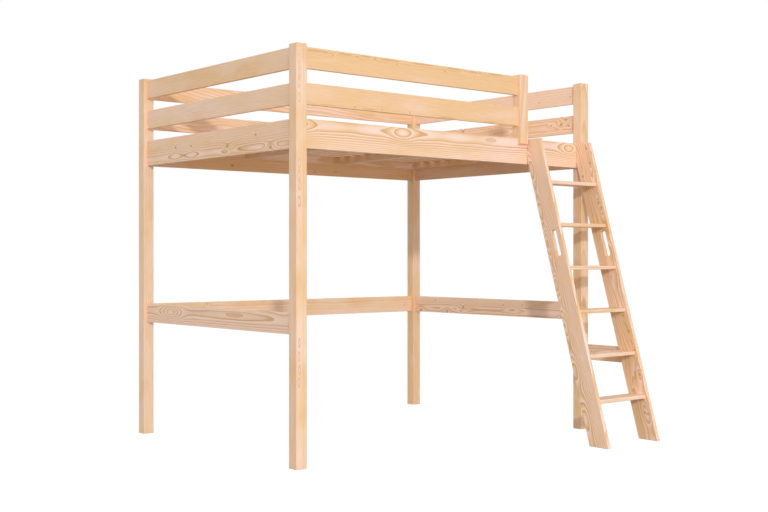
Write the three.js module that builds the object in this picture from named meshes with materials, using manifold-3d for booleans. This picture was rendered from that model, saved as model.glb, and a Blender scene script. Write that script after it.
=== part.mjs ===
// A high double bed on four square posts, with guard rails, a slatted platform and a leaning ladder.
// Millimetres. The bed's own frame has X along its long side, Y from the ladder side to the back,
// and Z up from the floor, with zero at the outer corner of the front left post.
// The finished group is moved so that its origin is the middle of its footprint on the floor.

import * as THREE from 'three';
import { mergeVertices } from 'three/addons/utils/BufferGeometryUtils.js';
import Module from 'manifold-3d';

const wasm = await Module();
wasm.setup();

// Overall sizes and timber sections
const bedLength = 2128;
const bedWidth = 1563;
const postHeight = 2045;
const postSide = 63;
const boardThickness = 20;
const postRounding = 3;
const boardRounding = 2;
const endRounding = 1;
const clearance = 0.3;
const overrun = 5;

// Guard rails and bed rails, from the post tops down
const topGuardDrop = 10;
const guardHeight = 105;
const guardGap = 69;
const bedRailHeight = 143;
const tenonLength = 18;

// Middle rails that tie the legs on the two ends and the back
const middleRailHeight = 105;
const middleRailLift = 643;

// The way in over the ladder, and the short post beside it
const entryWidth = 455.5;
const shortPostLap = 32;

// Platform inside the bed rails
const ledgerThickness = 25;
const ledgerHeight = 40;
const ledgerDrop = 25;
const bearerCount = 2;
const bearerWidth = 63;
const bearerHeight = 40;
const slatCount = 14;
const slatWidth = 70;
const slatThickness = 18;
const slatSideGap = 4;
const slatEndGap = 3;

// Ladder
const ladderReach = 436.5;
const ladderSeatHeight = 111;
const ladderEntryGap = 11.5;
const stringerThickness = 22;
const stringerWidth = 125;
const treadCount = 6;
const treadThickness = 21;
const treadDepth = 110;
const treadRounding = 4;
const treadHousing = 6;
const treadBackInset = 3.5;
const firstTreadHeight = 238;
const topTreadDrop = 249;

// Hand slot in each stringer, measured along and across the leaning board
const handSlotLength = 150;
const handSlotWidth = 32;
const handSlotRounding = 8;
const handSlotBackMargin = 61;
const handSlotDrop = 102.5;
const handSlotTreadsFromTop = 1;

// Board that ties the ladder to the front right leg
const braceHeight = 90;
const braceThickness = 20;
const braceLift = 415;
const braceEndInset = 25;

// Bolts with cross nuts that draw each bed rail into its posts
const boltRadius = 3;
const boltReach = 20;
const crossNutRadius = 5;
const crossNutLength = 14;
const crossNutSetback = 35;
const longRailBoltLift = 68;
const shortRailBoltLift = 44;

// Countersunk screws, driven from inside the front bed rail
const screwRadius = 3;
const screwHeadRadius = 6;
const screwHeadDepth = 4;
const ladderScrewLength = 66;
const ladderScrewLift = 48;
const lipScrewLength = 35;

// Steps in each rounded corner and in each round
const cornerSteps = 1;
const treadCornerSteps = 2;
const slotCornerSteps = 2;
const roundSides = 16;

const quarterTurn = Math.PI / 2;
const axes = {
  x: new THREE.Vector3(1, 0, 0),
  y: new THREE.Vector3(0, 1, 0),
  z: new THREE.Vector3(0, 0, 1),
};
// The two axes of a board's section, in the order that keeps its faces pointing out
const sectionAxes = { x: ['y', 'z'], y: ['z', 'x'], z: ['x', 'y'] };

const finishes = {
  post: pine('#f0cda2', 0.62),
  rail: pine('#f3d1a8', 0.6),
  ledger: pine('#e2b88d', 0.68),
  slat: pine('#e8c39a', 0.68),
  ladder: pine('#eecba2', 0.6),
  steel: new THREE.MeshStandardMaterial({ color: '#b8bbbf', roughness: 0.35, metalness: 1 }),
};

function pine(color, roughness) {
  return new THREE.MeshStandardMaterial({ color, roughness, metalness: 0 });
}

function box(low, high) {
  return new THREE.Box3(new THREE.Vector3(...low), new THREE.Vector3(...high));
}

function grown(space) {
  return space.clone().expandByScalar(clearance);
}

// Closed mesh to solid and back: these are used only where pieces are joined or cut.
function solidOf(geometry) {
  const bare = geometry.clone();
  bare.deleteAttribute('normal');
  bare.deleteAttribute('uv');
  const merged = mergeVertices(bare);
  const mesh = new wasm.Mesh({
    numProp: 3,
    vertProperties: merged.attributes.position.array,
    triVerts: new Uint32Array(merged.index.array),
  });
  return new wasm.Manifold(mesh);
}

function geometryOf(solid) {
  const mesh = solid.getMesh();
  const geometry = new THREE.BufferGeometry();
  geometry.setAttribute('position', new THREE.BufferAttribute(mesh.vertProperties, mesh.numProp));
  geometry.setIndex(new THREE.BufferAttribute(mesh.triVerts, 1));
  const flat = geometry.toNonIndexed();
  flat.computeVertexNormals();
  return flat;
}

function cut(geometry, cutters) {
  let solid = solidOf(geometry);
  for (const cutter of cutters) solid = solid.subtract(solidOf(cutter));
  return geometryOf(solid);
}

function blockOf(space) {
  const size = space.getSize(new THREE.Vector3());
  const middle = space.getCenter(new THREE.Vector3());
  return new THREE.BoxGeometry(...size.toArray()).translate(...middle.toArray());
}

function roundedRectangle(width, height, radius) {
  const shape = new THREE.Shape();
  shape.moveTo(radius, 0);
  shape.absarc(width - radius, radius, radius, -quarterTurn, 0);
  shape.absarc(width - radius, height - radius, radius, 0, quarterTurn);
  shape.absarc(radius, height - radius, radius, quarterTurn, 2 * quarterTurn);
  shape.absarc(radius, radius, radius, 2 * quarterTurn, 3 * quarterTurn);
  return shape;
}

// Extrudes an outline along one axis, with its edges eased by the rounding at both ends.
function extruded(outline, along, length, rounding, curveSegments = cornerSteps) {
  const geometry = new THREE.ExtrudeGeometry(outline, {
    depth: length - 2 * rounding,
    curveSegments,
    bevelEnabled: true,
    bevelSegments: 1,
    bevelSize: rounding,
    bevelThickness: rounding,
    bevelOffset: -rounding,
  });
  const [across, up] = sectionAxes[along];
  const turned = new THREE.Matrix4().makeBasis(axes[across], axes[up], axes[along]);
  return geometry.translate(0, 0, rounding).applyMatrix4(turned);
}

// A straight stick of timber that fills a box, with its long edges rounded.
function timber(space, along, rounding) {
  const size = space.getSize(new THREE.Vector3());
  const [across, up] = sectionAxes[along];
  const outline = roundedRectangle(size[across], size[up], rounding);
  return extruded(outline, along, size[along], endRounding).translate(...space.min.toArray());
}

function rod(start, end, radius) {
  const run = new THREE.Vector3().subVectors(end, start);
  const turn = new THREE.Quaternion().setFromUnitVectors(axes.y, run.clone().normalize());
  const middle = new THREE.Vector3().addVectors(start, end).divideScalar(2);
  return new THREE.CylinderGeometry(radius, radius, run.length(), roundSides)
    .applyQuaternion(turn)
    .translate(...middle.toArray());
}

const bed = new THREE.Group();

function part(name, geometry, finish) {
  const mesh = new THREE.Mesh(geometry, finish);
  mesh.name = name;
  return mesh;
}

function assembly(name, meshes) {
  const group = new THREE.Group();
  group.name = name;
  group.add(...meshes);
  bed.add(group);
}

// Levels
const topGuardTop = postHeight - topGuardDrop;
const lowerGuardTop = topGuardTop - guardHeight - guardGap;
const bedRailTop = lowerGuardTop - guardHeight - guardGap;
const bedRailBottom = bedRailTop - bedRailHeight;
const ledgerTop = bedRailTop - ledgerDrop;
const ledgerBottom = ledgerTop - ledgerHeight;

// Faces of the boards, which stand in the middle of the posts
const railInset = (postSide - boardThickness) / 2;
const railInner = railInset + boardThickness;
const backRailInner = bedWidth - railInner;
const rightRailInner = bedLength - railInner;
const rightPostLeft = bedLength - postSide;
const backPostFront = bedWidth - postSide;
const shortPostRight = rightPostLeft - entryWidth;
const shortPostLeft = shortPostRight - postSide;

// Rails: the box of each board between two posts, with its ends inside their mortises
function railOn(side, level, top, height, rightEnd = rightPostLeft) {
  const low = top - height;
  const xFrom = postSide - tenonLength;
  const yTo = backPostFront + tenonLength;
  const spaces = {
    front: box([xFrom, railInset, low], [rightEnd + tenonLength, railInner, top]),
    back: box([xFrom, backRailInner, low], [rightPostLeft + tenonLength, bedWidth - railInset, top]),
    left: box([railInset, xFrom, low], [railInner, yTo, top]),
    right: box([rightRailInner, xFrom, low], [bedLength - railInset, yTo, top]),
  };
  const along = side === 'front' || side === 'back' ? 'x' : 'y';
  return { name: `${level}_${side}`, side, level, along, space: spaces[side] };
}

const sides = ['front', 'left', 'right', 'back'];
const rails = [
  ...sides.map((side) => railOn(side, 'top_guard', topGuardTop, guardHeight,
    side === 'front' ? shortPostLeft : rightPostLeft)),
  ...sides.map((side) => railOn(side, 'lower_guard', lowerGuardTop, guardHeight,
    side === 'front' ? shortPostLeft : rightPostLeft)),
  ...sides.map((side) => railOn(side, 'bed_rail', bedRailTop, bedRailHeight)),
  ...sides.slice(1).map((side) => railOn(side, 'middle_rail',
    middleRailLift + middleRailHeight, middleRailHeight)),
];
const bedRails = rails.filter((rail) => rail.level === 'bed_rail');

// Posts
const corners = {
  front_left: [0, 0],
  front_right: [rightPostLeft, 0],
  back_left: [0, backPostFront],
  back_right: [rightPostLeft, backPostFront],
};
const posts = Object.entries(corners).map(([corner, [x, y]]) => ({
  name: `post_${corner}`,
  space: box([x, y, 0], [x + postSide, y + postSide, postHeight]),
}));

// The short post laps over the front of the bed rail, and stands on its top edge behind.
const shortPostBottom = bedRailTop - shortPostLap;
const shortPost = {
  name: 'entry_post',
  space: box([shortPostLeft, 0, shortPostBottom], [shortPostRight, postSide, postHeight]),
  rebate: box(
    [shortPostLeft - overrun, railInset - clearance, shortPostBottom - overrun],
    [shortPostRight + overrun, postSide + overrun, bedRailTop + clearance],
  ),
};

// Bolts: one at each end of each bed rail, running lengthwise into the post
const inward = { front: 1, left: 1, right: -1, back: -1 };

function railBolt(rail, end) {
  const { along, side, space } = rail;
  const through = along === 'x' ? 'y' : 'x';
  const length = space.getSize(new THREE.Vector3());
  const lift = along === 'x' ? longRailBoltLift : shortRailBoltLift;
  const centre = space.getCenter(new THREE.Vector3());
  centre.z = space.min.z + lift;
  const toPostFace = length[along] / 2 - tenonLength;
  const at = (distance) => centre.clone().addScaledVector(axes[along], end * (toPostFace + distance));
  const across = (point, distance) => point.clone()
    .addScaledVector(axes[through], inward[side] * distance);
  const nutCentre = at(-crossNutSetback);
  const tip = at(tenonLength + boltReach);
  const face = boardThickness / 2 - clearance;
  const beyond = tip.clone().addScaledVector(axes[along], end * clearance);
  const nutFloor = face - crossNutLength;
  const endNames = along === 'x' ? { '-1': 'left', 1: 'right' } : { '-1': 'front', 1: 'back' };
  return {
    name: `bolt_${side}_rail_${endNames[end]}`,
    rail: rail.name,
    parts: [rod(nutCentre, tip, boltRadius),
      rod(across(nutCentre, nutFloor), across(nutCentre, face), crossNutRadius)],
    holes: [rod(nutCentre, beyond, boltRadius + clearance),
      rod(across(nutCentre, nutFloor - clearance), across(nutCentre, face + overrun),
        crossNutRadius + clearance)],
  };
}

const bolts = bedRails.flatMap((rail) => [railBolt(rail, -1), railBolt(rail, 1)]);

// Screws: the head lies flush with the rail's inner face, and the point runs forwards.
function screwProfile(length, gap, headRun) {
  const shank = screwRadius + gap;
  const head = screwHeadRadius + gap;
  const points = [[0, -gap], [shank, -gap], [shank, length - screwHeadDepth], [head, length]];
  if (headRun > 0) points.push([head, length + headRun]);
  points.push([0, length + headRun]);
  return points.map(([radius, height]) => new THREE.Vector2(radius, height));
}

function screw(name, x, z, length) {
  const head = railInner - clearance;
  const place = (geometry) => geometry.translate(x, head - length, z);
  const turned = (profile) => new THREE.LatheGeometry(profile, roundSides);
  return {
    name,
    geometry: place(turned(screwProfile(length, 0, 0))),
    hole: place(turned(screwProfile(length, clearance, overrun))),
  };
}

// Ladder: the back edge of each stringer runs from the floor to a seat on the bed rail's face.
const seatFace = railInset - clearance;
const seatBottom = bedRailTop - ladderSeatHeight;
const leanPerHeight = (ladderReach + seatFace) / seatBottom;
const leanLength = Math.hypot(1, leanPerHeight);
const stringerRun = stringerWidth * leanLength;
const backEdgeAt = (height) => leanPerHeight * height - ladderReach;
const frontEdgeAt = (height) => backEdgeAt(height) - stringerRun;
const rightStringerRight = rightPostLeft - clearance;
const rightStringerLeft = rightStringerRight - stringerThickness;
const leftStringerLeft = shortPostRight + ladderEntryGap;
const leftStringerRight = leftStringerLeft + stringerThickness;
const treadRise = (bedRailTop - topTreadDrop - firstTreadHeight) / (treadCount - 1);
const treadHeights = Array.from({ length: treadCount }, (_, step) => firstTreadHeight + step * treadRise);

const treads = treadHeights.map((height, step) => {
  const low = height - treadThickness / 2;
  const back = backEdgeAt(height) - treadBackInset;
  return {
    name: `tread_${step + 1}`,
    space: box([leftStringerRight - treadHousing, back - treadDepth, low],
      [rightStringerLeft + treadHousing, back, low + treadThickness]),
  };
});

function handSlot() {
  const height = treadHeights.at(-1 - handSlotTreadsFromTop) - handSlotDrop;
  const outline = roundedRectangle(handSlotWidth, handSlotLength, handSlotRounding);
  const points = outline.getPoints(slotCornerSteps);
  const lean = Math.atan(leanPerHeight);
  const pivot = new THREE.Vector2(0, 0);
  const middle = new THREE.Vector2(
    backEdgeAt(height) - (handSlotBackMargin + handSlotWidth / 2) * leanLength,
    height,
  );
  const centred = points.map((point) => point.clone()
    .sub(new THREE.Vector2(handSlotWidth / 2, handSlotLength / 2))
    .rotateAround(pivot, -lean)
    .add(middle));
  return new THREE.Path(centred);
}

function stringerOutline() {
  const shape = new THREE.Shape([
    [frontEdgeAt(0), 0],
    [backEdgeAt(0), 0],
    [seatFace, seatBottom],
    [seatFace, bedRailTop],
    [frontEdgeAt(bedRailTop), bedRailTop],
  ].map(([y, z]) => new THREE.Vector2(y, z)));
  shape.holes.push(handSlot());
  return shape;
}

// A housing is open at the stringer's back edge, so that the tread slides in from behind.
function housing(tread) {
  const space = grown(tread.space);
  space.max.y += stringerRun;
  return blockOf(space);
}

const ladderScrewHeight = bedRailBottom + ladderScrewLift;
const ladderScrews = [
  ['left', (leftStringerLeft + leftStringerRight) / 2],
  ['right', (rightStringerLeft + rightStringerRight) / 2],
].map(([side, x]) => screw(`ladder_screw_${side}`, x, ladderScrewHeight, ladderScrewLength));
const lipScrew = screw('entry_post_screw', (shortPostLeft + shortPostRight) / 2,
  bedRailTop - shortPostLap / 2, lipScrewLength);

function stringer(side, left) {
  const body = extruded(stringerOutline(), 'x', stringerThickness, boardRounding).translate(left, 0, 0);
  const cutters = [...treads.map(housing), ...ladderScrews.map((fixing) => fixing.hole)];
  return part(`stringer_${side}`, cut(body, cutters), finishes.ladder);
}

const braceTop = braceLift + braceHeight;
const brace = box(
  [rightPostLeft, frontEdgeAt(braceTop) + braceEndInset, braceLift],
  [rightPostLeft + braceThickness, -clearance, braceTop],
);

// Platform: ledgers along the rails, two bearers half-lapped into the long ledgers, and slats the bed's length
const ledgerInner = railInner + clearance + ledgerThickness;
const backLedgerInner = bedWidth - ledgerInner;
const lapLevel = (ledgerTop + Math.max(ledgerBottom, ledgerTop - bearerHeight)) / 2;
const clearLength = rightPostLeft - postSide;
const bearerPitch = (clearLength + bearerWidth) / (bearerCount + 1);

const bearers = Array.from({ length: bearerCount }, (_, i) => {
  const left = postSide - bearerWidth + (i + 1) * bearerPitch;
  return {
    name: `bearer_${i + 1}`,
    space: box([left, railInner + clearance, ledgerTop - bearerHeight],
      [left + bearerWidth, backRailInner - clearance, ledgerTop]),
  };
});

// What the half lap takes away: the ledger loses its top there, and the bearer its underside.
function lapInLedger(bearer) {
  const space = grown(bearer.space);
  space.min.z = lapLevel - clearance / 2;
  space.max.z += overrun;
  return blockOf(space);
}

function lapInBearer(bearer, near, far) {
  const space = grown(bearer.space);
  space.min.y = near;
  space.max.y = far;
  space.min.z -= overrun;
  space.max.z = lapLevel + clearance / 2;
  return blockOf(space);
}

const rightLedgerRight = rightRailInner - clearance;
const longLedgerEnds = [postSide + clearance, rightPostLeft - clearance];
const shortLedgerEnds = [ledgerInner + clearance, backLedgerInner - clearance];
const ledgers = [
  ['front', 'x', longLedgerEnds, [railInner + clearance, ledgerInner]],
  ['back', 'x', longLedgerEnds, [backLedgerInner, backRailInner - clearance]],
  ['left', 'y', shortLedgerEnds, [railInner + clearance, ledgerInner]],
  ['right', 'y', shortLedgerEnds, [rightLedgerRight - ledgerThickness, rightLedgerRight]],
].map(([side, along, ends, faces]) => {
  const [xs, ys] = along === 'x' ? [ends, faces] : [faces, ends];
  const space = box([xs[0], ys[0], ledgerBottom], [xs[1], ys[1], ledgerTop]);
  const body = timber(space, along, boardRounding);
  const laps = along === 'x' ? bearers.map(lapInLedger) : [];
  return part(`ledger_${side}`, laps.length ? cut(body, laps) : body, finishes.ledger);
});

const slatBottom = ledgerTop + clearance;
const clearWidth = bedWidth - 2 * postSide;
const slatPitch = (clearWidth - 2 * slatSideGap - slatWidth) / (slatCount - 1);
const slats = Array.from({ length: slatCount }, (_, i) => {
  const near = postSide + slatSideGap + i * slatPitch;
  const space = box([railInner + slatEndGap, near, slatBottom],
    [rightRailInner - slatEndGap, near + slatWidth, slatBottom + slatThickness]);
  return part(`slat_${i + 1}`, timber(space, 'x', boardRounding), finishes.slat);
});

// Cut and place everything
const boltHoles = bolts.flatMap((bolt) => bolt.holes);

// Each mortise is the rail's own outline, grown by the clearance.
function mortisesIn(space) {
  return rails.filter((rail) => rail.space.intersectsBox(space))
    .map((rail) => blockOf(grown(rail.space)));
}

function postPart(post) {
  const body = timber(post.space, 'z', postRounding);
  return part(post.name, cut(body, [...mortisesIn(post.space), ...boltHoles]), finishes.post);
}

function shortPostPart() {
  const body = timber(shortPost.space, 'z', postRounding);
  const cutters = [blockOf(shortPost.rebate), ...mortisesIn(shortPost.space), lipScrew.hole];
  return part(shortPost.name, cut(body, cutters), finishes.post);
}

function railPart(rail) {
  const body = timber(rail.space, rail.along, boardRounding);
  const holes = bolts.filter((bolt) => bolt.rail === rail.name).flatMap((bolt) => bolt.holes);
  if (rail.name === 'bed_rail_front') {
    holes.push(...ladderScrews.map((fixing) => fixing.hole), lipScrew.hole);
  }
  return part(rail.name, holes.length ? cut(body, holes) : body, finishes.rail);
}

function bearerPart(bearer) {
  const laps = [
    lapInBearer(bearer, railInner, ledgerInner + clearance),
    lapInBearer(bearer, backLedgerInner - clearance, backRailInner),
  ];
  return part(bearer.name, cut(timber(bearer.space, 'y', boardRounding), laps), finishes.ledger);
}

function boltPart(bolt) {
  const [shaft, nut] = bolt.parts.map(solidOf);
  return part(bolt.name, geometryOf(shaft.add(nut)), finishes.steel);
}

function treadPart(tread) {
  const outline = roundedRectangle(treadDepth, treadThickness, treadRounding);
  const length = tread.space.max.x - tread.space.min.x;
  const body = extruded(outline, 'x', length, endRounding, treadCornerSteps);
  return part(tread.name, body.translate(...tread.space.min.toArray()), finishes.ladder);
}

assembly('legs', [...posts.map(postPart), shortPostPart()]);
assembly('rails', rails.map(railPart));
assembly('platform', [...ledgers, ...bearers.map(bearerPart), ...slats]);
assembly('ladder', [
  stringer('left', leftStringerLeft),
  stringer('right', rightStringerLeft),
  ...treads.map(treadPart),
  part('ladder_brace', timber(brace, 'y', boardRounding), finishes.ladder),
]);
assembly('fixings', [
  ...bolts.map(boltPart),
  ...[...ladderScrews, lipScrew].map((fixing) => part(fixing.name, fixing.geometry, finishes.steel)),
]);

// The middle of the footprint, ladder included, becomes the origin.
bed.position.set(-bedLength / 2, -(bedWidth + frontEdgeAt(0)) / 2, 0);

export default bed;
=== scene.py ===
import logging
import math
import random
from dataclasses import dataclass, fields
from enum import Enum
from typing import Any, Iterable, Sequence

import bmesh
import bpy
from mathutils import Matrix, Vector


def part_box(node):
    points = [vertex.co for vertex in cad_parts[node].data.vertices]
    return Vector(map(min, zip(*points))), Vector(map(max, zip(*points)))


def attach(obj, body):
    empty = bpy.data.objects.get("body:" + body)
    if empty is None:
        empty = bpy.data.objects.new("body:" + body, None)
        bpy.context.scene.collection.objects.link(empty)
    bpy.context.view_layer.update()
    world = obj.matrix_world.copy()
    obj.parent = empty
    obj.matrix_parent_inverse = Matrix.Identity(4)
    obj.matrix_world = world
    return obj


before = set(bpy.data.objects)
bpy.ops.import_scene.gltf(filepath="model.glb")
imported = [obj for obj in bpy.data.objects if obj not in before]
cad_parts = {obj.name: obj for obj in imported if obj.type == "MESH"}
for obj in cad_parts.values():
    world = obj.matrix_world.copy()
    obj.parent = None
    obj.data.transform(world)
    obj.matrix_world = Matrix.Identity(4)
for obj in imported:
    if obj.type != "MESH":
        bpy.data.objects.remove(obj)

LOG = logging.getLogger("double loft bed")
BODY = "root"
LEAN = math.radians(16.194)
NO_KNOT = 0.00002
WHITE = (1.0, 1.0, 1.0, 1.0)
NUMBER, VECTOR, COLOUR = "NodeSocketFloat", "NodeSocketVector", "NodeSocketColor"

Triple = tuple[float, float, float]
Socket = bpy.types.NodeSocket


def srgb(red: int, green: int, blue: int) -> tuple[float, float, float, float]:
    """Turns an ordinary 0 to 255 colour into Blender's linear one.

    Args:
        red: The red part, 0 to 255.
        green: The green part, 0 to 255.
        blue: The blue part, 0 to 255.

    Returns:
        The linear colour with full alpha.
    """
    def linear(part: int) -> float:
        """Returns one part as linear light."""
        share = part / 255.0
        return share / 12.92 if share <= 0.04045 else ((share + 0.055) / 1.055) ** 2.4

    return (linear(red), linear(green), linear(blue), 1.0)


class Grain(Enum):
    """Which way a board's fibres run, and which way its width lies across them."""

    LEG = ((0.0, 0.0, 1.0), (1.0, 0.0, 0.0))
    LONG_RAIL = ((1.0, 0.0, 0.0), (0.0, 0.0, 1.0))
    SHORT_RAIL = ((0.0, 1.0, 0.0), (0.0, 0.0, 1.0))
    BEARER = ((0.0, 1.0, 0.0), (1.0, 0.0, 0.0))
    FLAT = ((1.0, 0.0, 0.0), (0.0, 1.0, 0.0))
    STRINGER = ((0.0, math.sin(LEAN), math.cos(LEAN)), (0.0, math.cos(LEAN), -math.sin(LEAN)))

    def turn(self) -> Matrix:
        """Returns the rotation from the bed's axes to along, across and through the board."""
        along, across = (Vector(axis) for axis in self.value)
        return Matrix((along, across, along.cross(across)))


@dataclass(frozen=True)
class Eye:
    """A place where the rings bulge, so that they close into ovals round it.

    Attributes:
        along: Distance from the board's middle along the grain, in metres.
        across: Distance from the board's middle across the grain, in metres.
        length: Half length of the bulge.
        height: Half height of the bulge.
        lift: How far the rings are pushed out, in metres; negative pulls them in.
        core: How strongly the heart of the eye is filled with late wood, 0 to 1.
        pin: Radius of a small knot at the heart, in metres.
        glow: How much paler and more sharply drawn the wood is round it, 0 to 1.
    """

    along: float
    across: float
    length: float
    height: float
    lift: float
    core: float = 0.0
    pin: float = NO_KNOT
    glow: float = 0.0


@dataclass(frozen=True)
class Figure:
    """How one board was cut from its tree, which decides its grain picture.

    Attributes:
        pith_across: Where the tree's heart lies across the board, from its middle, in metres.
        pith_depth: How deep the heart lies behind the board's middle, in metres.
        ring: Mean width of one year's ring, in metres.
        taper: How much the rings widen for each metre along the board.
        warp: How far the rings wander, in metres.
        contrast: Strength of the dark late wood, 0 to 1.
        blush: Share of pink just outside the rings' edges, 0 to 1.
        warmth: Share of ochre in the early wood, 0 to 1.
        uneven: How much the rings' widths vary, 0 to 0.5.
        pins: Radius of the largest pin knots, in metres.
        seed: Picks the board's own share of the endless noise.
        eyes: Places where the rings close into ovals.
    """

    pith_across: float = 0.0
    pith_depth: float = -0.06
    ring: float = 0.0085
    taper: float = 0.0
    warp: float = 0.0035
    contrast: float = 0.85
    blush: float = 0.7
    warmth: float = 0.4
    uneven: float = 0.08
    pins: float = 0.0
    seed: float = 0.0
    eyes: tuple[Eye, ...] = ()


def cut_by_chance(name: str, width: float, plain: float) -> Figure:
    """Picks a likely cut for a board that the photograph hardly shows.

    Args:
        name: The board's name, which fixes the choice.
        width: The board's width, in metres.
        plain: How plain the board should be, 0 to 1.

    Returns:
        Its figure.
    """
    luck = random.Random("pine " + name)
    return Figure(
        pith_across=luck.uniform(-0.8, 0.8) * width,
        pith_depth=luck.choice((-1, 1)) * luck.uniform(0.05, 0.11),
        ring=luck.uniform(0.0065, 0.0095),
        taper=luck.choice((-1, 1)) * luck.uniform(0.008, 0.02),
        warp=luck.uniform(0.006, 0.012),
        contrast=luck.uniform(0.6, 0.85) * (1.0 - 0.6 * plain),
        blush=luck.uniform(0.3, 0.8),
        warmth=luck.uniform(0.3, 0.6),
        uneven=0.35,
        pins=luck.uniform(0.0015, 0.003),
        seed=luck.uniform(0.0, 40.0))


def pins(radius: float, *places: tuple[float, float]) -> tuple[Eye, ...]:
    """Returns pin knots of one radius at places along and across a board."""
    return tuple(Eye(along, across, length=radius * 6, height=radius * 3, lift=radius * 2,
                     pin=radius) for along, across in places)


def knots(radius: float, *places: tuple[float, float]) -> tuple[Eye, ...]:
    """Returns pin knots that the rings bend round in long, flat waves."""
    return tuple(Eye(along, across, length=radius * 8, height=radius * 2.6, lift=-radius * 2.0,
                     pin=radius) for along, across in places)


def streaks(height: float, *places: Triple) -> tuple[Eye, ...]:
    """Returns thin dark streaks of one height at places along, across and half as long."""
    return tuple(Eye(along, across, length, height, lift=0.0, core=0.75)
                 for along, across, length in places)


def glows(height: float, share: float, *places: Triple) -> tuple[Eye, ...]:
    """Returns soft pale clouds of one height and share at places along, across and half as long."""
    return tuple(Eye(along, across, length, height, lift=0.0, glow=share)
                 for along, across, length in places)


def hearts(*places: tuple[float, float]) -> tuple[Eye, ...]:
    """Returns the small pale hearts of the front leg's braid at places along and across it."""
    return tuple(Eye(along, across, length=0.021, height=0.0085, lift=-0.0050, core=0.24,
                     glow=1.0) for along, across in places)


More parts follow.
